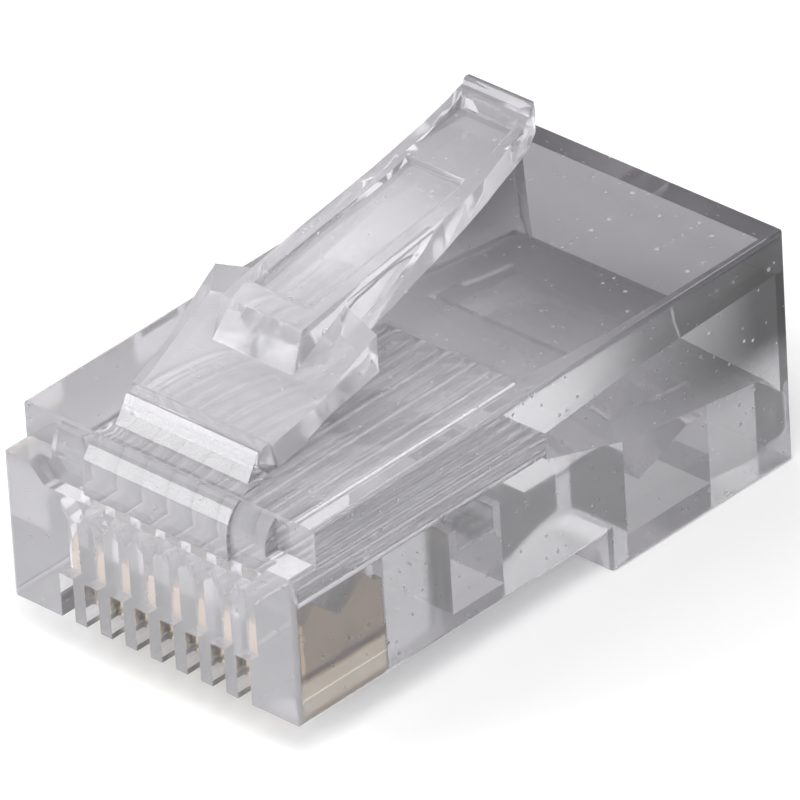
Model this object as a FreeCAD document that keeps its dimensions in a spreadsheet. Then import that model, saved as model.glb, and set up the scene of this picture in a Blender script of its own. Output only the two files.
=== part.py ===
import FreeCAD, Part
import Sketcher
import math
import os

# Eight-position modular plug for round cable, as supplied (not yet crimped).
# One clear moulding carries a flexing latch tab on its top and eight plated contact blades in
# slots at the nose.  The shared frame: X across the width, Y from the nose to the cable mouth,
# Z up, origin under the middle of the box round the plug, at the level of the rear underside.
# Lengths in the sketches are taken from the nose face, and each body's placement then moves it
# back by half the length of the plug.

doc = FreeCAD.newDocument("modular_plug")
sheet = doc.addObject("Spreadsheet::Sheet", "Sizes")

SIZES = [
    # outer moulding
    ("body_width", 11.68),
    ("body_length", 21.46),
    ("base_step", 1.40),
    ("step_place", 13.45),
    ("front_top", 7.65),
    ("rear_top", 8.00),
    ("ledge_top", 6.44),
    ("ledge_depth", 1.02),
    ("edge_round", 0.18),
    # lip and root of the latch on the nose
    ("lip_top", 5.80),
    ("lip_depth", 0.35),
    ("lip_width", 8.40),
    ("lip_flare", 0.70),
    ("root_shoulder_width", 8.60),
    ("root_shoulder_back", 0.15),
    ("root_shoulder_round", 1.05),
    ("root_width", 5.80),
    ("root_rise", 0.08),
    ("root_round", 1.20),
    ("root_length", 1.75),
    # seat of the flexing web
    ("hinge_place", 2.55),
    ("hinge_rise", 0.57),
    ("web_radius", 0.45),
    ("web_gap", 0.03),
    ("seat_width", 5.30),
    ("seat_rise", 0.90),
    # contact slots and wire channels
    ("contact_pitch", 1.02),
    ("contact_count", 8),
    ("front_slot_width", 0.55),
    ("front_slot_height", 1.50),
    ("channel_diameter", 0.90),
    ("channel_level", 5.00),
    ("channel_front", 1.00),
    ("comb_place", 11.60),
    # cable cavity
    ("mouth_side_wall", 1.04),
    ("mouth_floor", 2.90),
    ("mouth_roof_wall", 1.70),
    ("throat_place", 14.90),
    ("throat_side_wall", 1.24),
    ("throat_floor", 3.70),
    ("throat_roof_wall", 2.00),
    ("mouth_lead", 0.70),
    # pocket below the conductors
    ("clamp_front", 7.20),
    ("clamp_length", 2.20),
    ("clamp_width", 8.60),
    ("clamp_bar", 1.10),
    ("clamp_web", 0.35),
    ("clamp_web_length", 0.30),
    # cable grip
    ("grip_front", 15.20),
    ("grip_length", 3.70),
    ("grip_width", 6.20),
    ("grip_gap", 0.20),
    # contact blades
    ("contact_thickness", 0.35),
    ("slot_clearance", 0.03),
    ("contact_front", 1.05),
    ("contact_length", 3.55),
    ("contact_proud", 0.15),
    ("contact_shoulder", 2.65),
    ("contact_tip", 3.15),
    ("contact_notch", 2.25),
    ("contact_round", 0.30),
    # latch tab
    ("deck_front_width", 5.44),
    ("deck_rear_width", 6.48),
    ("shoulder_reach", 4.50),
    ("shoulder_rise", 2.55),
    ("shoulder_depth", 1.38),
    ("handle_width", 3.50),
    ("handle_reach", 13.31),
    ("handle_rise", 5.25),
    ("side_relief", 0.20),
    ("recess_width", 2.30),
    ("recess_depth", 0.22),
    ("recess_front", 3.60),
]

row = 1
for alias, number in SIZES:
    sheet.set("A%d" % row, alias.replace("_", " "))
    sheet.set("B%d" % row, "%g" % number)
    sheet.setAlias("B%d" % row, alias)
    row += 1
doc.recompute()
size = dict(SIZES)

CHANNEL_FLOOR = "Sizes.channel_level - Sizes.channel_diameter / 2"
CHANNEL_ROOF = "Sizes.channel_level + Sizes.channel_diameter / 2"
FIRST_CONTACT = "(1 - Sizes.contact_count) / 2 * Sizes.contact_pitch"
HINGE_LEVEL = "Sizes.front_top + Sizes.hinge_rise"


def plane_of(body, role):
    """The body's own origin plane with this role."""
    return [item for item in body.Origin.OriginFeatures if item.Role == role][0]


def outline(body, name, role, points):
    """A closed outline whose corners are all held by named sizes.

    The corners start evenly round a circle and the dimensions pull them into place.
    """
    sketch = body.newObject("Sketcher::SketchObject", name)
    sketch.AttachmentSupport = [(plane_of(body, role), "")]
    sketch.MapMode = "FlatFace"
    total = len(points)
    ring = []
    for place in range(total):
        turn = 2 * math.pi * place / total
        ring.append(FreeCAD.Vector(10 + 5 * math.cos(turn), 10 + 5 * math.sin(turn), 0))
    for place in range(total):
        sketch.addGeometry(Part.LineSegment(ring[place], ring[(place + 1) % total]), False)
    for place in range(total):
        following = (place + 1) % total
        sketch.addConstraint(Sketcher.Constraint("Coincident", place, 2, following, 1))
    for place in range(total):
        across = sketch.addConstraint(Sketcher.Constraint("DistanceX", place, 1, ring[place].x))
        sketch.setExpression("Constraints[%d]" % across, str(points[place][0]))
        upward = sketch.addConstraint(Sketcher.Constraint("DistanceY", place, 1, ring[place].y))
        sketch.setExpression("Constraints[%d]" % upward, str(points[place][1]))
    sketch.Visibility = False
    return sketch


def disc(body, name, role, across, upward, radius):
    """A circle held by its centre and its radius."""
    sketch = body.newObject("Sketcher::SketchObject", name)
    sketch.AttachmentSupport = [(plane_of(body, role), "")]
    sketch.MapMode = "FlatFace"
    sketch.addGeometry(Part.Circle(FreeCAD.Vector(3, 8, 0), FreeCAD.Vector(0, 0, 1), 0.5), False)
    first = sketch.addConstraint(Sketcher.Constraint("DistanceX", 0, 3, 3.0))
    sketch.setExpression("Constraints[%d]" % first, across)
    second = sketch.addConstraint(Sketcher.Constraint("DistanceY", 0, 3, 8.0))
    sketch.setExpression("Constraints[%d]" % second, upward)
    third = sketch.addConstraint(Sketcher.Constraint("Radius", 0, 0.5))
    sketch.setExpression("Constraints[%d]" % third, radius)
    sketch.Visibility = False
    return sketch


def bent(body, name, front, back, foot, top, radius):
    """A block's side view with its upper front corner rounded."""
    sketch = body.newObject("Sketcher::SketchObject", name)
    sketch.AttachmentSupport = [(plane_of(body, "YZ_Plane"), "")]
    sketch.MapMode = "FlatFace"
    ends = [FreeCAD.Vector(0, 5, 0), FreeCAD.Vector(0, 7, 0), FreeCAD.Vector(1, 8, 0),
            FreeCAD.Vector(3, 8, 0), FreeCAD.Vector(3, 5, 0)]
    circle = Part.Circle(FreeCAD.Vector(1, 7, 0), FreeCAD.Vector(0, 0, 1), 1)
    sketch.addGeometry(Part.LineSegment(ends[0], ends[1]), False)
    sketch.addGeometry(Part.ArcOfCircle(circle, math.pi / 2, math.pi), False)
    sketch.addGeometry(Part.LineSegment(ends[2], ends[3]), False)
    sketch.addGeometry(Part.LineSegment(ends[3], ends[4]), False)
    sketch.addGeometry(Part.LineSegment(ends[4], ends[0]), False)
    for joined in ((0, 2, 1, 2), (1, 1, 2, 1), (2, 2, 3, 1), (3, 2, 4, 1), (4, 2, 0, 1)):
        sketch.addConstraint(Sketcher.Constraint("Coincident", *joined))
    for kind, line in (("Vertical", 0), ("Horizontal", 2), ("Vertical", 3), ("Horizontal", 4)):
        sketch.addConstraint(Sketcher.Constraint(kind, line))
    for kind, element, point, start, rule in (
            ("DistanceX", 1, 3, 1.0, front + " + " + radius),
            ("DistanceY", 1, 3, 7.0, top + " - " + radius),
            ("DistanceX", 1, 1, 1.0, front + " + " + radius),
            ("DistanceY", 1, 2, 7.0, top + " - " + radius),
            ("DistanceX", 3, 1, 3.0, back),
            ("DistanceY", 0, 1, 5.0, foot)):
        held = sketch.addConstraint(Sketcher.Constraint(kind, element, point, start))
        sketch.setExpression("Constraints[%d]" % held, rule)
    bend = sketch.addConstraint(Sketcher.Constraint("Radius", 1, 1.0))
    sketch.setExpression("Constraints[%d]" % bend, radius)
    sketch.Visibility = False
    return sketch


def both_ways(body, kind, name, sketch, width):
    """A pad or pocket spread evenly to both sides of its sketch."""
    feature = body.newObject("PartDesign::" + kind, name)
    feature.Profile = sketch
    feature.SideType = "Symmetric"
    feature.Type = 0
    feature.setExpression("Length", width)
    doc.recompute()
    body.Tip = feature
    return feature


def rounded(body, name, base, chosen, radius):
    """A fillet on the edges of the base for which chosen(edge's box) holds."""
    names = []
    for place, edge in enumerate(base.Shape.Edges):
        if chosen(edge.BoundBox):
            names.append("Edge%d" % (place + 1))
    fillet = body.newObject("PartDesign::Fillet", name)
    fillet.Base = (base, names)
    fillet.setExpression("Radius", radius)
    doc.recompute()
    body.Tip = fillet
    return fillet


def same(first, second):
    """True where two lengths agree to a ten-thousandth of a millimetre."""
    return abs(first - second) < 1e-4


# ---------------------------------------------------------------- housing
housing = doc.addObject("PartDesign::Body", "housing")
housing.Label = "housing"
housing.setExpression("Placement.Base.y", "-Sizes.body_length / 2")

side = outline(housing, "side_outline", "YZ_Plane", [
    ("0", "Sizes.base_step"),
    ("0", "Sizes.ledge_top"),
    ("Sizes.ledge_depth", "Sizes.ledge_top"),
    ("Sizes.ledge_depth", "Sizes.front_top"),
    ("Sizes.body_length", "Sizes.rear_top"),
    ("Sizes.body_length", "0"),
    ("Sizes.step_place", "0"),
    ("Sizes.step_place", "Sizes.base_step"),
])
block = both_ways(housing, "Pad", "moulded_block", side, "Sizes.body_width")


def outer_edge(box):
    """Edges of the two side faces, without those that end in the inner corners."""
    on_side = same(abs(box.Center.x), size["body_width"] / 2)
    at_step = same(box.Center.y, size["step_place"]) and box.ZMax < size["base_step"] + 0.1
    at_ledge = same(box.Center.y, size["ledge_depth"])
    return on_side and not at_step and not at_ledge


rounded(housing, "outer_rounds", block, outer_edge, "Sizes.edge_round")

# lip in front of the latch root, lower in the middle than the corner ledges
lip = outline(housing, "lip_outline", "XZ_Plane", [
    ("-Sizes.lip_width / 2 - Sizes.lip_flare", "Sizes.ledge_top + 0.1"),
    ("-Sizes.lip_width / 2", "Sizes.lip_top"),
    ("Sizes.lip_width / 2", "Sizes.lip_top"),
    ("Sizes.lip_width / 2 + Sizes.lip_flare", "Sizes.ledge_top + 0.1"),
])
both_ways(housing, "Pocket", "lip_cut", lip, "(Sizes.lip_depth + Sizes.root_shoulder_back) * 2")

# shoulder and rounded root that the latch springs from
shoulder = bent(housing, "root_shoulder_outline", "Sizes.lip_depth + Sizes.root_shoulder_back",
                "Sizes.lip_depth + Sizes.root_length", "Sizes.lip_top - 0.5",
                "Sizes.front_top", "Sizes.root_shoulder_round")
both_ways(housing, "Pad", "root_shoulder", shoulder, "Sizes.root_shoulder_width")
root = bent(housing, "root_outline", "Sizes.lip_depth",
            "Sizes.lip_depth + Sizes.root_length", "Sizes.lip_top - 0.5",
            "Sizes.front_top + Sizes.root_rise", "Sizes.root_round")
both_ways(housing, "Pad", "latch_root", root, "Sizes.root_width")

# seat for the flexing web of the latch, hollowed round its axis
SEAT_BACK = "Sizes.hinge_place - 0.13"
seat = outline(housing, "seat_outline", "YZ_Plane", [
    (SEAT_BACK + " - 0.87", "Sizes.front_top - 0.1"),
    (SEAT_BACK + " - 0.82", "Sizes.front_top + Sizes.root_rise"),
    (SEAT_BACK + " - 0.30", "Sizes.front_top + Sizes.seat_rise"),
    (SEAT_BACK, "Sizes.front_top + Sizes.seat_rise"),
    (SEAT_BACK, "Sizes.front_top - 0.1"),
])
both_ways(housing, "Pad", "web_seat", seat, "Sizes.seat_width")
hollow = disc(housing, "seat_hollow_outline", "YZ_Plane", "Sizes.hinge_place",
              HINGE_LEVEL, "Sizes.web_radius + Sizes.web_gap")
both_ways(housing, "Pocket", "seat_hollow", hollow, "Sizes.root_width + 1")

# cable cavity, narrowing from the mouth to the comb of wire channels
sections = []
for name, place, half, floor, roof in (
        ("mouth_outline", "Sizes.body_length", "(Sizes.body_width / 2 - Sizes.mouth_side_wall)",
         "Sizes.mouth_floor", "Sizes.rear_top - Sizes.mouth_roof_wall"),
        ("throat_outline", "Sizes.throat_place",
         "(Sizes.body_width / 2 - Sizes.throat_side_wall)",
         "Sizes.throat_floor", "Sizes.rear_top - Sizes.throat_roof_wall"),
        ("comb_outline", "Sizes.comb_place",
         "((Sizes.contact_count - 1) * Sizes.contact_pitch + Sizes.channel_diameter) / 2",
         CHANNEL_FLOOR, CHANNEL_ROOF)):
    section = outline(housing, name, "XZ_Plane", [
        ("-" + half, floor),
        (half, floor),
        (half, roof),
        ("-" + half, roof),
    ])
    section.setExpression("AttachmentOffset.Base.z", "-" + place)
    sections.append(section)
doc.recompute()
cavity = housing.newObject("PartDesign::SubtractiveLoft", "cable_cavity")
cavity.Profile = sections[0]
cavity.Sections = sections[1:]
cavity.Ruled = True
doc.recompute()
housing.Tip = cavity

lead = outline(housing, "mouth_lead_outline", "YZ_Plane", [
    ("Sizes.body_length + 0.1", "Sizes.mouth_floor - Sizes.mouth_lead - 0.1"),
    ("Sizes.body_length + 0.1", "Sizes.mouth_floor + 0.3"),
    ("Sizes.body_length - Sizes.mouth_lead - 0.2", "Sizes.mouth_floor + 0.3"),
])
both_ways(housing, "Pocket", "mouth_lead_in", lead,
          "Sizes.body_width - 2 * Sizes.mouth_side_wall")

# pocket below the conductors, with a thin web along its front and rear
CLAMP_BACK = "Sizes.clamp_front + Sizes.clamp_length"
CLAMP_ROOF = CHANNEL_FLOOR + " - Sizes.clamp_bar"
CLAMP_WEB = CHANNEL_FLOOR + " - Sizes.clamp_web"
clamp = outline(housing, "clamp_outline", "YZ_Plane", [
    ("Sizes.clamp_front", "Sizes.base_step - 0.5"),
    ("Sizes.clamp_front", CLAMP_WEB),
    ("Sizes.clamp_front + Sizes.clamp_web_length", CLAMP_WEB),
    ("Sizes.clamp_front + Sizes.clamp_web_length", CLAMP_ROOF),
    (CLAMP_BACK + " - Sizes.clamp_web_length", CLAMP_ROOF),
    (CLAMP_BACK + " - Sizes.clamp_web_length", CLAMP_WEB),
    (CLAMP_BACK, CLAMP_WEB),
    (CLAMP_BACK, "Sizes.base_step - 0.5"),
])
both_ways(housing, "Pocket", "conductor_pocket", clamp, "Sizes.clamp_width")

# cable grip: a bar standing in its own pocket, joined to the floor of the cavity at the rear
GRIP_BACK = "Sizes.grip_front + Sizes.grip_length"
grip_pocket = outline(housing, "grip_pocket_outline", "YZ_Plane", [
    ("Sizes.grip_front", "-0.5"),
    ("Sizes.grip_front", "Sizes.throat_floor + 0.2"),
    (GRIP_BACK, "Sizes.throat_floor + 0.2"),
    (GRIP_BACK, "-0.5"),
])
both_ways(housing, "Pocket", "grip_pocket", grip_pocket, "Sizes.grip_width + 2 * Sizes.grip_gap")
grip = outline(housing, "grip_outline", "YZ_Plane", [
    (GRIP_BACK + " + 0.05", "Sizes.mouth_floor - 0.60"),
    (GRIP_BACK + " + 0.05", "Sizes.mouth_floor + 0.30"),
    ("Sizes.grip_front + Sizes.grip_gap + 1.15", "Sizes.mouth_floor + 0.55"),
    ("Sizes.grip_front + Sizes.grip_gap + 1.00", "Sizes.mouth_floor + 0.85"),
    ("Sizes.grip_front + Sizes.grip_gap", "Sizes.mouth_floor + 0.82"),
    ("Sizes.grip_front + Sizes.grip_gap + 0.04", "Sizes.mouth_floor - 0.30"),
    ("Sizes.grip_front + Sizes.grip_gap + 0.22", "Sizes.mouth_floor - 0.90"),
    ("Sizes.grip_front + Sizes.grip_gap + 0.60", "Sizes.mouth_floor - 1.40"),
    ("Sizes.grip_front + Sizes.grip_gap + 1.30", "Sizes.mouth_floor - 1.18"),
    ("Sizes.grip_front + Sizes.grip_gap + 2.80", "Sizes.mouth_floor - 0.58"),
])
both_ways(housing, "Pad", "cable_grip", grip, "Sizes.grip_width")

# one contact slot, its open front and the wire channel above it, repeated across the nose
HALF_SLOT = "(Sizes.contact_thickness / 2 + Sizes.slot_clearance)"
slot = outline(housing, "blade_slot_outline", "XY_Plane", [
    (FIRST_CONTACT + " - " + HALF_SLOT, "Sizes.contact_front - Sizes.slot_clearance"),
    (FIRST_CONTACT + " + " + HALF_SLOT, "Sizes.contact_front - Sizes.slot_clearance"),
    (FIRST_CONTACT + " + " + HALF_SLOT,
     "Sizes.contact_front + Sizes.contact_length + Sizes.slot_clearance"),
    (FIRST_CONTACT + " - " + HALF_SLOT,
     "Sizes.contact_front + Sizes.contact_length + Sizes.slot_clearance"),
])
blade_slot = both_ways(housing, "Pocket", "blade_slot", slot, "Sizes.channel_level * 2")
opening = outline(housing, "front_slot_outline", "XY_Plane", [
    (FIRST_CONTACT + " - Sizes.front_slot_width / 2", "-0.5"),
    (FIRST_CONTACT + " + Sizes.front_slot_width / 2", "-0.5"),
    (FIRST_CONTACT + " + Sizes.front_slot_width / 2", "Sizes.contact_front"),
    (FIRST_CONTACT + " - Sizes.front_slot_width / 2", "Sizes.contact_front"),
])
front_slot = both_ways(housing, "Pocket", "front_slot", opening,
                       "(Sizes.base_step + Sizes.front_slot_height) * 2")
bore = disc(housing, "channel_outline", "XZ_Plane", FIRST_CONTACT, "Sizes.channel_level",
            "Sizes.channel_diameter / 2")
bore.setExpression("AttachmentOffset.Base.z", "-Sizes.comb_place - 0.2")
channel = housing.newObject("PartDesign::Pocket", "wire_channel")
channel.Profile = bore
channel.Type = 0
channel.Reversed = True
channel.setExpression("Length", "Sizes.comb_place + 0.2 - Sizes.channel_front")
doc.recompute()
if channel.Shape.Volume > front_slot.Shape.Volume - 1:
    raise RuntimeError("the wire channel cut nothing")
across = housing.newObject("PartDesign::LinearPattern", "slots_across")
across.Originals = [blade_slot, front_slot, channel]
across.Direction = (slot, ["H_Axis"])
across.Mode = "Spacing"
across.setExpression("Offset", "Sizes.contact_pitch")
across.setExpression("Occurrences", "Sizes.contact_count")
doc.recompute()
housing.Tip = across

# ---------------------------------------------------------------- latch tab
latch = doc.addObject("PartDesign::Body", "latch_tab")
latch.Label = "latch_tab"
latch.setExpression("Placement.Base.y", "-Sizes.body_length / 2")


def from_web(points):
    """Corners measured back and up from the middle of the flexing web."""
    placed = []
    for back, up in points:
        placed.append(("Sizes.hinge_place + %s" % back, HINGE_LEVEL + " + %s" % up))
    return placed


def on_both_sides(name, kept):
    """A pocket's twin on the other side of the middle plane."""
    twin = latch.newObject("PartDesign::Mirrored", name)
    twin.Originals = [kept]
    twin.MirrorPlane = (plane_of(latch, "YZ_Plane"), [""])
    doc.recompute()
    latch.Tip = twin


# the handle, with its sides drawn in towards the tip
handle = outline(latch, "handle_outline", "YZ_Plane", from_web([
    ("2.15", "1.08"),
    ("2.70", "2.55"),
    ("4.45", "2.90"),
    ("6.45", "3.23"),
    ("7.95", "3.44"),
    ("9.45", "3.68"),
    ("10.45", "3.94"),
    ("11.45", "4.29"),
    ("Sizes.handle_reach - 0.80", "Sizes.handle_rise - 0.54"),
    ("Sizes.handle_reach - 0.35", "Sizes.handle_rise - 0.27"),
    ("Sizes.handle_reach - 0.22", "Sizes.handle_rise - 0.02"),
    ("Sizes.handle_reach - 0.08", "Sizes.handle_rise"),
    ("Sizes.handle_reach", "Sizes.handle_rise - 0.37"),
    ("Sizes.handle_reach - 0.08", "Sizes.handle_rise - 1.07"),
    ("Sizes.handle_reach - 0.65", "Sizes.handle_rise - 1.42"),
    ("12.09", "3.63"),
    ("11.15", "3.35"),
    ("10.44", "3.11"),
    ("9.41", "2.75"),
    ("8.51", "2.38"),
    ("7.41", "2.00"),
    ("6.52", "1.63"),
    ("5.56", "1.32"),
    ("4.35", "1.08"),
    ("2.95", "0.83"),
]))
both_ways(latch, "Pad", "latch_handle", handle, "Sizes.handle_width")
HANDLE_SIDE = "Sizes.handle_width / 2"
handle_trim = outline(latch, "handle_side_outline", "XY_Plane", [
    (HANDLE_SIDE + " - 0.13", "Sizes.hinge_place + 1.50"),
    (HANDLE_SIDE + " - 0.13", "Sizes.hinge_place + 2.70"),
    (HANDLE_SIDE + " - 0.09", "Sizes.hinge_place + 4.45"),
    (HANDLE_SIDE, "Sizes.hinge_place + 8.70"),
    (HANDLE_SIDE, "Sizes.hinge_place + 9.70"),
    (HANDLE_SIDE + " - 0.05", "Sizes.hinge_place + 10.60"),
    (HANDLE_SIDE + " - 0.20", "Sizes.hinge_place + 11.80"),
    (HANDLE_SIDE + " - 0.30", "Sizes.hinge_place + Sizes.handle_reach - 0.55"),
    (HANDLE_SIDE + " - 0.50", "Sizes.hinge_place + Sizes.handle_reach + 0.05"),
    (HANDLE_SIDE + " + 1.00", "Sizes.hinge_place + Sizes.handle_reach + 0.05"),
    (HANDLE_SIDE + " + 1.00", "Sizes.hinge_place + 1.50"),
])
handle_trim_cut = both_ways(latch, "Pocket", "handle_side_trim", handle_trim,
                            "Sizes.front_top * 4")
on_both_sides("handle_side_trim_twin", handle_trim_cut)

# a shallow well along each side of the handle, under the edge of its top
relief = outline(latch, "side_relief_outline", "YZ_Plane", from_web([
    ("4.60", "2.65"),
    ("5.97", "2.87"),
    ("7.13", "3.08"),
    ("8.30", "3.30"),
    ("7.83", "2.88"),
    ("7.23", "2.48"),
    ("6.33", "1.95"),
    ("5.16", "1.66"),
    ("4.60", "1.54"),
]))
relief.setExpression("AttachmentOffset.Base.z", HANDLE_SIDE + " - 0.05 - Sizes.side_relief")
relief_cut = latch.newObject("PartDesign::Pocket", "side_relief_cut")
relief_cut.Profile = relief
relief_cut.Type = 0
relief_cut.Reversed = True
relief_cut.setExpression("Length", "Sizes.side_relief + 0.3")
doc.recompute()
latch.Tip = relief_cut
on_both_sides("side_relief_twin", relief_cut)

# a shallow panel along the top of the handle and a scoop before its tip
recess = outline(latch, "handle_recess_outline", "YZ_Plane", from_web([
    ("Sizes.recess_front", "2.90 + (Sizes.recess_front - 4.45) * 0.2 - Sizes.recess_depth"),
    ("4.45", "2.90 - Sizes.recess_depth"),
    ("6.45", "3.23 - Sizes.recess_depth"),
    ("7.95", "3.44 - Sizes.recess_depth"),
    ("9.45", "3.68 - Sizes.recess_depth"),
    ("10.30", "3.90 - Sizes.recess_depth"),
    ("10.30", "4.60"),
    ("Sizes.recess_front", "4.60"),
]))
both_ways(latch, "Pocket", "handle_recess", recess, "Sizes.recess_width")
tip_recess = outline(latch, "tip_recess_outline", "YZ_Plane", from_web([
    ("10.75", "4.05"),
    ("Sizes.handle_reach - 0.66", "Sizes.handle_rise - 0.85"),
    ("Sizes.handle_reach - 0.56", "Sizes.handle_rise + 0.10"),
    ("10.75", "Sizes.handle_rise + 0.10"),
]))
both_ways(latch, "Pocket", "tip_recess", tip_recess, "Sizes.recess_width")

# the flexing web, the thin deck behind it and the ramp that rises to the two shoulders
web = disc(latch, "web_outline", "YZ_Plane", "Sizes.hinge_place", HINGE_LEVEL,
           "Sizes.web_radius")
both_ways(latch, "Pad", "flexing_web", web, "Sizes.deck_front_width - 0.1")
deck = outline(latch, "deck_outline", "YZ_Plane", from_web([
    ("0", "Sizes.web_radius - 0.02"),
    ("1.79", "1.02"),
    ("Sizes.shoulder_reach", "Sizes.shoulder_rise"),
    ("Sizes.shoulder_reach", "Sizes.shoulder_rise - Sizes.shoulder_depth"),
    ("2.22", "0.49"),
    ("1.05", "-0.12"),
    ("0.20", "-Sizes.web_radius + 0.05"),
]))
both_ways(latch, "Pad", "latch_deck", deck, "Sizes.deck_rear_width")
DECK_SIDE = "Sizes.deck_rear_width / 2"
trim = outline(latch, "deck_side_outline", "XY_Plane", [
    ("Sizes.deck_front_width / 2", "Sizes.hinge_place - 1"),
    (DECK_SIDE + " - 0.06", "Sizes.hinge_place + Sizes.shoulder_reach - 1.12"),
    (DECK_SIDE, "Sizes.hinge_place + Sizes.shoulder_reach - 0.37"),
    ("Sizes.handle_width / 2 + 0.05", "Sizes.hinge_place + Sizes.shoulder_reach - 0.02"),
    ("Sizes.handle_width / 2 + 0.05", "Sizes.hinge_place + Sizes.shoulder_reach + 0.1"),
    (DECK_SIDE + " + 1", "Sizes.hinge_place + Sizes.shoulder_reach + 0.1"),
    (DECK_SIDE + " + 1", "Sizes.hinge_place - 1"),
])
trim_cut = both_ways(latch, "Pocket", "deck_side_trim", trim, "Sizes.front_top * 4")
on_both_sides("deck_side_trim_twin", trim_cut)

# ---------------------------------------------------------------- contact blades
BLADE_FOOT = "Sizes.base_step - Sizes.contact_proud"
BLADE_BACK = "Sizes.contact_front + Sizes.contact_length"


def lower_corner(box):
    """The two lower corners of a blade."""
    low = size["base_step"] - size["contact_proud"]
    return same(box.ZMin, low) and same(box.ZMax, low) and same(box.YMin, box.YMax)


contacts = []
for number in range(1, int(size["contact_count"]) + 1):
    blade = doc.addObject("PartDesign::Body", "contact_%d" % number)
    blade.Label = "contact_%d" % number
    blade.setExpression("Placement.Base.x", "(%d - (Sizes.contact_count + 1) / 2)"
                        " * Sizes.contact_pitch" % number)
    blade.setExpression("Placement.Base.y", "-Sizes.body_length / 2")
    edge = outline(blade, "blade_outline_%d" % number, "YZ_Plane", [
        ("Sizes.contact_front", BLADE_FOOT),
        ("Sizes.contact_front", BLADE_FOOT + " + Sizes.contact_shoulder"),
        ("Sizes.contact_front + 0.35", BLADE_FOOT + " + Sizes.contact_shoulder + 0.08"),
        ("Sizes.contact_front + 0.70", BLADE_FOOT + " + Sizes.contact_tip"),
        ("Sizes.contact_front + Sizes.contact_length / 2", BLADE_FOOT + " + Sizes.contact_notch"),
        (BLADE_BACK + " - 0.70", BLADE_FOOT + " + Sizes.contact_tip"),
        (BLADE_BACK + " - 0.35", BLADE_FOOT + " + Sizes.contact_shoulder + 0.08"),
        (BLADE_BACK, BLADE_FOOT + " + Sizes.contact_shoulder"),
        (BLADE_BACK, BLADE_FOOT),
    ])
    plate = both_ways(blade, "Pad", "blade_%d" % number, edge, "Sizes.contact_thickness")
    rounded(blade, "blade_rounds_%d" % number, plate, lower_corner, "Sizes.contact_round")
    contacts.append(blade)

doc.recompute()

# ---------------------------------------------------------------- checks and export
for item in doc.Objects:
    if "Invalid" in item.State or "Error" in item.State:
        raise RuntimeError("feature failed: " + item.Name)
os.makedirs("parts", exist_ok=True)
for body in [housing, latch] + contacts:
    shape = body.Shape
    if shape.isNull() or not shape.isValid() or len(shape.Solids) != 1:
        raise RuntimeError("bad solid: %s %d" % (body.Label, len(shape.Solids)))
    shape.exportStep("parts/%s.step" % body.Label)
    print(body.Label, round(shape.Volume, 3), shape.BoundBox)
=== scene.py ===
import math
import bpy
from mathutils import Matrix, Vector


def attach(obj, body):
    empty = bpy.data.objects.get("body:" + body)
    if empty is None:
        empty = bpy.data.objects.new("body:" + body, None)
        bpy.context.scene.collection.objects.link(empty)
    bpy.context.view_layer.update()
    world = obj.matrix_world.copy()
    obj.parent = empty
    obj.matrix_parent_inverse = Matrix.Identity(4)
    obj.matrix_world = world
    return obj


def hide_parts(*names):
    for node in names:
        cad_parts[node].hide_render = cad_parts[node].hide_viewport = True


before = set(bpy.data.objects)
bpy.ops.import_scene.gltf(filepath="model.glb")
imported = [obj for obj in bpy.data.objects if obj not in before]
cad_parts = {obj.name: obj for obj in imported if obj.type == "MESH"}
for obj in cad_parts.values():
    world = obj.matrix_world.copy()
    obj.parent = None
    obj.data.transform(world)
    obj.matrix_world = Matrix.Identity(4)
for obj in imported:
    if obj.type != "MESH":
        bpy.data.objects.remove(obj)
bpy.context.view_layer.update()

bpy.ops.object.select_all(action="DESELECT")

# ------------------------------------------------------------------ camera
# A long lens, half of the way round from the nose to the right side and a third of the way up,
# tipped slightly about its own axis.  It looks at the middle of the plug, from a picked distance.
CAMERA_ROUND = math.radians(44.748)
CAMERA_UP = math.radians(31.768)
CAMERA_TIP = math.radians(-3.502)
CAMERA_AWAY = 0.4
CAMERA_ACROSS = 0.000014
CAMERA_DOWN = 0.000264
LENS_MM = 608.9
SENSOR_MM = 36.0
LOOKED_AT = Vector((0.0, 0.00002, 0.0054))
LIGHT_BOUNCES = 8

back = Vector((math.sin(CAMERA_ROUND) * math.cos(CAMERA_UP),
               -math.cos(CAMERA_ROUND) * math.cos(CAMERA_UP),
               math.sin(CAMERA_UP)))
level = (-back).cross(Vector((0, 0, 1))).normalized()
upright = level.cross(-back)
across = math.cos(CAMERA_TIP) * level + math.sin(CAMERA_TIP) * upright
upward = -math.sin(CAMERA_TIP) * level + math.cos(CAMERA_TIP) * upright
bpy.ops.object.camera_add(location=LOOKED_AT + back * CAMERA_AWAY
                          + across * CAMERA_ACROSS - upward * CAMERA_DOWN)
camera = bpy.context.object
camera.name = "camera"
camera.rotation_euler = Matrix((across, upward, back)).transposed().to_euler()
camera.data.sensor_width = SENSOR_MM
camera.data.lens = LENS_MM
camera.data.clip_start = 0.01
camera.data.clip_end = 20.0
bpy.context.scene.camera = camera
bpy.context.scene.view_settings.view_transform = "Standard"
bpy.context.scene.cycles.max_bounces = LIGHT_BOUNCES
bpy.ops.object.select_all(action="DESELECT")


# ------------------------------------------------------------------ housing
# The body of the plug, moulded in one shot from clear polycarbonate, with the small edge radii
# of its mould.  The nose looks milky, and the thin walls round the cable cavity carry a painted
# shade, grey to nearly black: it stands in for dark surroundings, because the plastic itself has
# no colour.
MOULD_RADIUS = 0.00005
SAME_POINT = 0.000001
SHARPEST_FLAT = math.radians(0.4)
ROUNDED_FROM = math.radians(32)
SHADED_SMOOTH_TO = math.radians(50)


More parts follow.
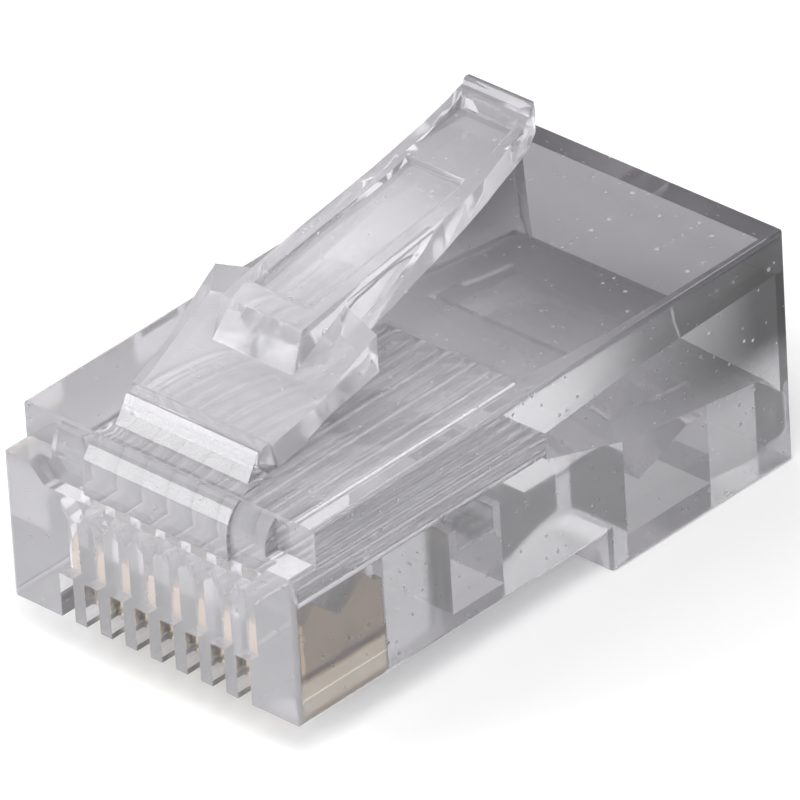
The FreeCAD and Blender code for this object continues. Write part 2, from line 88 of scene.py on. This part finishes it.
def moulded_copy(name, node, body, radius):
    """A merged copy of a solid, with whole flat faces and slightly rounded edges."""
    piece = bpy.data.objects.new(name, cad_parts[node].data.copy())
    bpy.context.scene.collection.objects.link(piece)
    bpy.ops.object.select_all(action="DESELECT")
    piece.select_set(True)
    bpy.context.view_layer.objects.active = piece
    bpy.ops.object.mode_set(mode="EDIT")
    bpy.ops.mesh.select_all(action="SELECT")
    bpy.ops.mesh.remove_doubles(threshold=SAME_POINT)
    bpy.ops.mesh.select_all(action="SELECT")
    bpy.ops.mesh.dissolve_limited(angle_limit=SHARPEST_FLAT)
    bpy.ops.object.mode_set(mode="OBJECT")
    bevel = piece.modifiers.new("mould_radius", "BEVEL")
    bevel.width = radius
    bevel.segments = 2
    bevel.limit_method = "ANGLE"
    bevel.angle_limit = ROUNDED_FROM
    bevel.use_clamp_overlap = True
    bpy.ops.object.modifier_apply(modifier=bevel.name)
    bpy.ops.object.shade_smooth_by_angle(angle=SHADED_SMOOTH_TO)
    flatten = piece.modifiers.new("true_faces", "WEIGHTED_NORMAL")
    flatten.mode = "FACE_AREA"
    flatten.weight = 100
    flatten.keep_sharp = True
    bpy.ops.object.modifier_apply(modifier=flatten.name)
    piece.data.materials.clear()
    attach(piece, body)
    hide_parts(node)
    bpy.ops.object.select_all(action="DESELECT")
    return piece


def surface_marks():
    """A node group for a moulded face: flow marks, a polish that varies, and sparse specks."""
    best_polish, worst_polish, speck_dulling = 0.02, 0.05, 0.4
    group = bpy.data.node_groups.new("moulded_surface", "ShaderNodeTree")
    for label, usual in (("Flow Scale", 300.0), ("Speck Scale", 1800.0),
                         ("Speck Share", 0.15), ("Speck Size", 0.18)):
        entry = group.interface.new_socket(name=label, in_out="INPUT",
                                           socket_type="NodeSocketFloat")
        entry.default_value = usual
    for label in ("Height", "Roughness", "Specks"):
        group.interface.new_socket(name=label, in_out="OUTPUT", socket_type="NodeSocketFloat")
    nodes, links = group.nodes, group.links
    entry = nodes.new("NodeGroupInput")
    leave = nodes.new("NodeGroupOutput")
    place = nodes.new("ShaderNodeTexCoord")
    flow = nodes.new("ShaderNodeTexNoise")
    flow.inputs["Detail"].default_value = 3.0
    links.new(place.outputs["Object"], flow.inputs["Vector"])
    links.new(entry.outputs["Flow Scale"], flow.inputs["Scale"])
    cells = nodes.new("ShaderNodeTexVoronoi")
    links.new(place.outputs["Object"], cells.inputs["Vector"])
    links.new(entry.outputs["Speck Scale"], cells.inputs["Scale"])
    chance = nodes.new("ShaderNodeSeparateColor")
    links.new(cells.outputs["Color"], chance.inputs["Color"])
    chosen = nodes.new("ShaderNodeMath")
    chosen.operation = "LESS_THAN"
    links.new(chance.outputs["Red"], chosen.inputs[0])
    links.new(entry.outputs["Speck Share"], chosen.inputs[1])
    reach = nodes.new("ShaderNodeMath")
    reach.operation = "MULTIPLY"
    links.new(chance.outputs["Green"], reach.inputs[0])
    links.new(entry.outputs["Speck Size"], reach.inputs[1])
    inside = nodes.new("ShaderNodeMath")
    inside.operation = "LESS_THAN"
    links.new(cells.outputs["Distance"], inside.inputs[0])
    links.new(reach.outputs[0], inside.inputs[1])
    speck = nodes.new("ShaderNodeMath")
    speck.operation = "MULTIPLY"
    links.new(chosen.outputs[0], speck.inputs[0])
    links.new(inside.outputs[0], speck.inputs[1])
    links.new(speck.outputs[0], leave.inputs["Specks"])
    links.new(flow.outputs["Fac"], leave.inputs["Height"])
    polish = nodes.new("ShaderNodeMapRange")
    polish.inputs["From Min"].default_value = 0.3
    polish.inputs["From Max"].default_value = 0.75
    polish.inputs["To Min"].default_value = best_polish
    polish.inputs["To Max"].default_value = worst_polish
    links.new(flow.outputs["Fac"], polish.inputs["Value"])
    dull = nodes.new("ShaderNodeMath")
    dull.operation = "MULTIPLY_ADD"
    dull.inputs[1].default_value = speck_dulling
    links.new(speck.outputs[0], dull.inputs[0])
    links.new(polish.outputs["Result"], dull.inputs[2])
    links.new(dull.outputs[0], leave.inputs["Roughness"])
    return group


def clear_plastic(name, clearness, milky, painted_shade, painted_shade_from, painted_shade_to):
    """Clear polycarbonate, milky at the nose, with painted shade that darkens it along Y, and
    more so higher up.
    """
    refraction = 1.585
    painted_shade_low, painted_shade_high, painted_shade_at_foot = 0.0026, 0.0048, 0.12
    nose_haze = 0.04
    flow_strength, flow_depth = 0.01, 0.00002
    material = bpy.data.materials.new(name)
    material.use_nodes = True
    nodes, links = material.node_tree.nodes, material.node_tree.links
    shader = nodes["Principled BSDF"]
    shader.inputs["IOR"].default_value = refraction
    shader.inputs["Transmission Weight"].default_value = clearness
    place = nodes.new("ShaderNodeTexCoord")
    spot = nodes.new("ShaderNodeSeparateXYZ")
    links.new(place.outputs["Object"], spot.inputs["Vector"])
    # where the painted shade falls: further back along Y, and higher up
    along = nodes.new("ShaderNodeMapRange")
    along.interpolation_type = "SMOOTHSTEP"
    along.inputs["From Min"].default_value = painted_shade_from
    along.inputs["From Max"].default_value = painted_shade_to
    links.new(spot.outputs["Y"], along.inputs["Value"])
    aloft = nodes.new("ShaderNodeMapRange")
    aloft.interpolation_type = "SMOOTHSTEP"
    aloft.inputs["From Min"].default_value = painted_shade_low
    aloft.inputs["From Max"].default_value = painted_shade_high
    aloft.inputs["To Min"].default_value = painted_shade_at_foot
    links.new(spot.outputs["Z"], aloft.inputs["Value"])
    painted_shade_mask = nodes.new("ShaderNodeMath")
    painted_shade_mask.operation = "MULTIPLY"
    links.new(along.outputs["Result"], painted_shade_mask.inputs[0])
    links.new(aloft.outputs["Result"], painted_shade_mask.inputs[1])
    marks = nodes.new("ShaderNodeGroup")
    marks.node_tree = bpy.data.node_groups["moulded_surface"]
    marks.inputs["Flow Scale"].default_value = 260.0
    marks.inputs["Speck Scale"].default_value = 2600.0
    marks.inputs["Speck Share"].default_value = 0.35
    marks.inputs["Speck Size"].default_value = 0.20
    painted_shade_between_specks = nodes.new("ShaderNodeMath")
    painted_shade_between_specks.operation = "SUBTRACT"
    painted_shade_between_specks.use_clamp = True
    links.new(painted_shade_mask.outputs[0], painted_shade_between_specks.inputs[0])
    links.new(marks.outputs["Specks"], painted_shade_between_specks.inputs[1])
    # painted shade: the colour runs from the milky plastic to a darker grey, broken by pale
    # specks
    painted_light_ramp = nodes.new("ShaderNodeValToRGB")
    painted_light_ramp.color_ramp.elements[0].color = milky
    painted_light_ramp.color_ramp.elements[1].color = painted_shade
    links.new(painted_shade_between_specks.outputs[0], painted_light_ramp.inputs["Fac"])
    links.new(painted_light_ramp.outputs["Color"], shader.inputs["Base Color"])
    blur = nodes.new("ShaderNodeMath")
    blur.operation = "MULTIPLY_ADD"
    blur.inputs[1].default_value = -nose_haze
    blur.inputs[2].default_value = nose_haze
    links.new(along.outputs["Result"], blur.inputs[0])
    gloss = nodes.new("ShaderNodeMath")
    gloss.operation = "ADD"
    links.new(marks.outputs["Roughness"], gloss.inputs[0])
    links.new(blur.outputs[0], gloss.inputs[1])
    links.new(gloss.outputs[0], shader.inputs["Roughness"])
    bump = nodes.new("ShaderNodeBump")
    bump.inputs["Strength"].default_value = flow_strength
    bump.inputs["Distance"].default_value = flow_depth
    links.new(marks.outputs["Height"], bump.inputs["Height"])
    links.new(bump.outputs["Normal"], shader.inputs["Normal"])
    return material


surface_marks()
housing = moulded_copy("housing_moulding", "housing", "shell", MOULD_RADIUS)
MILKY_PLASTIC = (0.97, 0.955, 0.985, 1)
# both housing materials carry painted shade: grey in the main one, nearly black in the side one
housing.data.materials.append(clear_plastic(
    "clear_polycarbonate", clearness=0.78, milky=MILKY_PLASTIC,
    painted_shade=(0.42, 0.407, 0.434, 1), painted_shade_from=0.0, painted_shade_to=0.0065))
housing.data.materials.append(clear_plastic(
    "clear_polycarbonate_side", clearness=0.93, milky=(0.90, 0.89, 0.91, 1),
    painted_shade=(0.012, 0.012, 0.013, 1), painted_shade_from=0.0035, painted_shade_to=0.0095))

# the outer side walls, and the slot walls in the nose, take the clearer of the two, whose painted
# shade goes nearly black towards the rear and top
SIDEWAYS = 0.9
OUTER_WALL = 0.0055
SLOTS_END = -0.0065
SIDE_MATERIAL = 1
for face in housing.data.polygons:
    in_place = abs(face.center.x) > OUTER_WALL or face.center.y < SLOTS_END
    if abs(face.normal.x) > SIDEWAYS and in_place:
        face.material_index = SIDE_MATERIAL

# ------------------------------------------------------------------ latch tab
# The springing tab with its two shoulders and the handle that a finger presses.  It is moulded
# with the housing, in the same clear plastic, and carries a lighter painted shade than the
# housing because it stands in the open.
latch = moulded_copy("latch_moulding", "latch_tab", "latch", MOULD_RADIUS)
# painted shade: the tab's colour greys towards the rear and higher up
latch.data.materials.append(clear_plastic(
    "clear_polycarbonate_tab", clearness=0.79, milky=MILKY_PLASTIC,
    painted_shade=(0.68, 0.667, 0.70, 1), painted_shade_from=0.0, painted_shade_to=0.0065))

# ------------------------------------------------------------------ contact blades
# Eight blades stamped from phosphor bronze strip and plated with gold.  Their colour is painted
# by place: a painted highlight makes the foot brightest, and painted shade makes the front edge a
# deeper gold and the sides above the foot a darker bronze, with a grain of random tone over all.
BLADES = 8
BLADE_RADIUS = 0.00002
FOOT_TOP, SIDE_START = 0.00185, 0.00205
FRONT_EDGE, BEHIND_EDGE = -0.00960, -0.00945
FRONT_PAINTED_SHADE, PAINTED_SHADE_ADDED_BEHIND = 0.42, 0.30
GRAIN_SHARE = 0.28
PAINTED_HIGHLIGHT_GOLD = (0.98, 0.90, 0.70, 1)
DARKEST_PAINTED_SHADE = (0.17, 0.105, 0.045, 1)
HIGHLIGHT_TO_SHADE_STEPS = ((0.28, (0.92, 0.79, 0.53, 1)), (0.46, (0.66, 0.47, 0.24, 1)),
                  (0.70, (0.52, 0.36, 0.18, 1)), (0.77, (0.26, 0.17, 0.078, 1)))
plating = bpy.data.materials.new("gold_plating")
plating.use_nodes = True
nodes, links = plating.node_tree.nodes, plating.node_tree.links
shader = nodes["Principled BSDF"]
shader.inputs["Metallic"].default_value = 1.0
place = nodes.new("ShaderNodeTexCoord")
spot = nodes.new("ShaderNodeSeparateXYZ")
links.new(place.outputs["Object"], spot.inputs["Vector"])
# painted highlight on the foot, and painted shade above it that deepens behind the front edge
above = nodes.new("ShaderNodeMapRange")
above.inputs["From Min"].default_value = FOOT_TOP
above.inputs["From Max"].default_value = SIDE_START
links.new(spot.outputs["Z"], above.inputs["Value"])
behind = nodes.new("ShaderNodeMapRange")
behind.inputs["From Min"].default_value = FRONT_EDGE
behind.inputs["From Max"].default_value = BEHIND_EDGE
links.new(spot.outputs["Y"], behind.inputs["Value"])
side_shade_level = nodes.new("ShaderNodeMath")
side_shade_level.operation = "MULTIPLY_ADD"
side_shade_level.inputs[1].default_value = PAINTED_SHADE_ADDED_BEHIND
side_shade_level.inputs[2].default_value = FRONT_PAINTED_SHADE
links.new(behind.outputs["Result"], side_shade_level.inputs[0])
painted_shade_share = nodes.new("ShaderNodeMath")
painted_shade_share.operation = "MULTIPLY"
links.new(above.outputs["Result"], painted_shade_share.inputs[0])
links.new(side_shade_level.outputs[0], painted_shade_share.inputs[1])
grain = nodes.new("ShaderNodeTexNoise")
grain.inputs["Scale"].default_value = 1500.0
grain.inputs["Detail"].default_value = 4.0
links.new(place.outputs["Object"], grain.inputs["Vector"])
tone = nodes.new("ShaderNodeMath")
tone.operation = "MULTIPLY_ADD"
tone.inputs[1].default_value = GRAIN_SHARE
links.new(grain.outputs["Fac"], tone.inputs[0])
links.new(painted_shade_share.outputs[0], tone.inputs[2])
# the ramp runs from painted highlight gold to painted shade bronze; the grain adds random tone
painted_light_ramp = nodes.new("ShaderNodeValToRGB")
painted_light_ramp.color_ramp.elements[0].position = 0.05
painted_light_ramp.color_ramp.elements[0].color = PAINTED_HIGHLIGHT_GOLD
painted_light_ramp.color_ramp.elements[1].position = 0.95
painted_light_ramp.color_ramp.elements[1].color = DARKEST_PAINTED_SHADE
for position, colour in HIGHLIGHT_TO_SHADE_STEPS:
    painted_light_ramp.color_ramp.elements.new(position).color = colour
links.new(tone.outputs[0], painted_light_ramp.inputs["Fac"])
links.new(painted_light_ramp.outputs["Color"], shader.inputs["Base Color"])
wear = nodes.new("ShaderNodeMapRange")
wear.inputs["From Min"].default_value = 0.3
wear.inputs["From Max"].default_value = 0.7
wear.inputs["To Min"].default_value = 0.12
wear.inputs["To Max"].default_value = 0.26
links.new(grain.outputs["Fac"], wear.inputs["Value"])
links.new(wear.outputs["Result"], shader.inputs["Roughness"])
bump = nodes.new("ShaderNodeBump")
bump.inputs["Strength"].default_value = 0.1
bump.inputs["Distance"].default_value = 0.00001
links.new(grain.outputs["Fac"], bump.inputs["Height"])
links.new(bump.outputs["Normal"], shader.inputs["Normal"])
for number in range(1, BLADES + 1):
    blade = moulded_copy("blade_%d" % number, "contact_%d" % number, "blade_%d" % number,
                         BLADE_RADIUS)
    blade.data.materials.append(plating)

# ------------------------------------------------------------------ floor
# A plain white table top, far wider than any view of the plug.  A faint glow of its own whitens
# it where it is looked at, directly, in a reflection or through the plastic, and lights nothing.
FLOOR_WIDTH = 6.0
FLOOR_LEVEL = -0.00002
FLOOR_GLOW = 0.18
FLOOR_WHITE = (0.86, 0.86, 0.86, 1)
bpy.ops.mesh.primitive_plane_add(size=FLOOR_WIDTH, location=(0, 0, FLOOR_LEVEL))
floor = bpy.context.object
floor.name = "floor"
bpy.ops.object.transform_apply(location=True, rotation=True, scale=True)
white_top = bpy.data.materials.new("white_table")
white_top.use_nodes = True
nodes, links = white_top.node_tree.nodes, white_top.node_tree.links
shader = nodes["Principled BSDF"]
shader.inputs["Base Color"].default_value = FLOOR_WHITE
shader.inputs["Roughness"].default_value = 0.7
path = nodes.new("ShaderNodeLightPath")
seen = nodes.new("ShaderNodeMath")
seen.operation = "MAXIMUM"
links.new(path.outputs["Is Camera Ray"], seen.inputs[0])
links.new(path.outputs["Is Glossy Ray"], seen.inputs[1])
either = nodes.new("ShaderNodeMath")
either.operation = "MAXIMUM"
links.new(seen.outputs[0], either.inputs[0])
links.new(path.outputs["Is Transmission Ray"], either.inputs[1])
share = nodes.new("ShaderNodeMath")
share.operation = "MULTIPLY"
share.inputs[1].default_value = FLOOR_GLOW
links.new(either.outputs[0], share.inputs[0])
glow = nodes.new("ShaderNodeEmission")
links.new(share.outputs[0], glow.inputs["Strength"])
lit = nodes.new("ShaderNodeAddShader")
links.new(shader.outputs["BSDF"], lit.inputs[0])
links.new(glow.outputs["Emission"], lit.inputs[1])
links.new(lit.outputs["Shader"], nodes["Material Output"].inputs["Surface"])
floor.data.materials.append(white_top)
bpy.ops.object.select_all(action="DESELECT")

# ------------------------------------------------------------------ light
# A lamp over the viewer's shoulder, one to the front left and a broad one overhead to the left,
# in an even room that is darker behind the plug's left side.  The plastic doesn't show the front
# lamp, whose image would be a hard white patch in the side wall, nor the first one.
ROOM_WHITE = (0.98, 0.98, 1.0, 1)
OPEN_SIDE, SHADED_SIDE = 0.72, 0.15
TOWARD_SHADE = Vector((-0.6, 0.6, 0.5)).normalized()
LAMPS_FACE = Vector((0, 0, 0.005))
world = bpy.data.worlds.new("room")
bpy.context.scene.world = world
world.use_nodes = True
nodes, links = world.node_tree.nodes, world.node_tree.links
sky = nodes["Background"]
sky.inputs["Color"].default_value = ROOM_WHITE
toward = nodes.new("ShaderNodeTexCoord")
facing = nodes.new("ShaderNodeVectorMath")
facing.operation = "DOT_PRODUCT"
facing.inputs[1].default_value = TOWARD_SHADE
links.new(toward.outputs["Generated"], facing.inputs[0])
shade = nodes.new("ShaderNodeMapRange")
shade.inputs["From Min"].default_value = 0.2
shade.inputs["From Max"].default_value = 0.8
shade.inputs["To Min"].default_value = OPEN_SIDE
shade.inputs["To Max"].default_value = SHADED_SIDE
links.new(facing.outputs["Value"], shade.inputs["Value"])
links.new(shade.outputs["Result"], sky.inputs["Strength"])


def lamp(name, place, size, power, seen_through):
    """A soft square lamp that faces the plug, and that clear plastic shows or does not."""
    bpy.ops.object.light_add(type="AREA", location=place)
    made = bpy.context.object
    made.name = name
    made.data.size = size
    made.data.energy = power
    made.visible_transmission = seen_through
    aim = (LAMPS_FACE - Vector(place)).to_track_quat("-Z", "Y")
    made.rotation_euler = aim.to_euler()
    bpy.ops.object.select_all(action="DESELECT")


lamp("key_lamp", place=(0.20, -0.20, 0.48), size=0.30, power=1.5, seen_through=False)
lamp("front_lamp", place=(-0.30, -0.35, 0.17), size=0.30, power=1.4, seen_through=False)
lamp("top_lamp", place=(-0.27, 0.03, 0.36), size=0.45, power=0.6, seen_through=True)
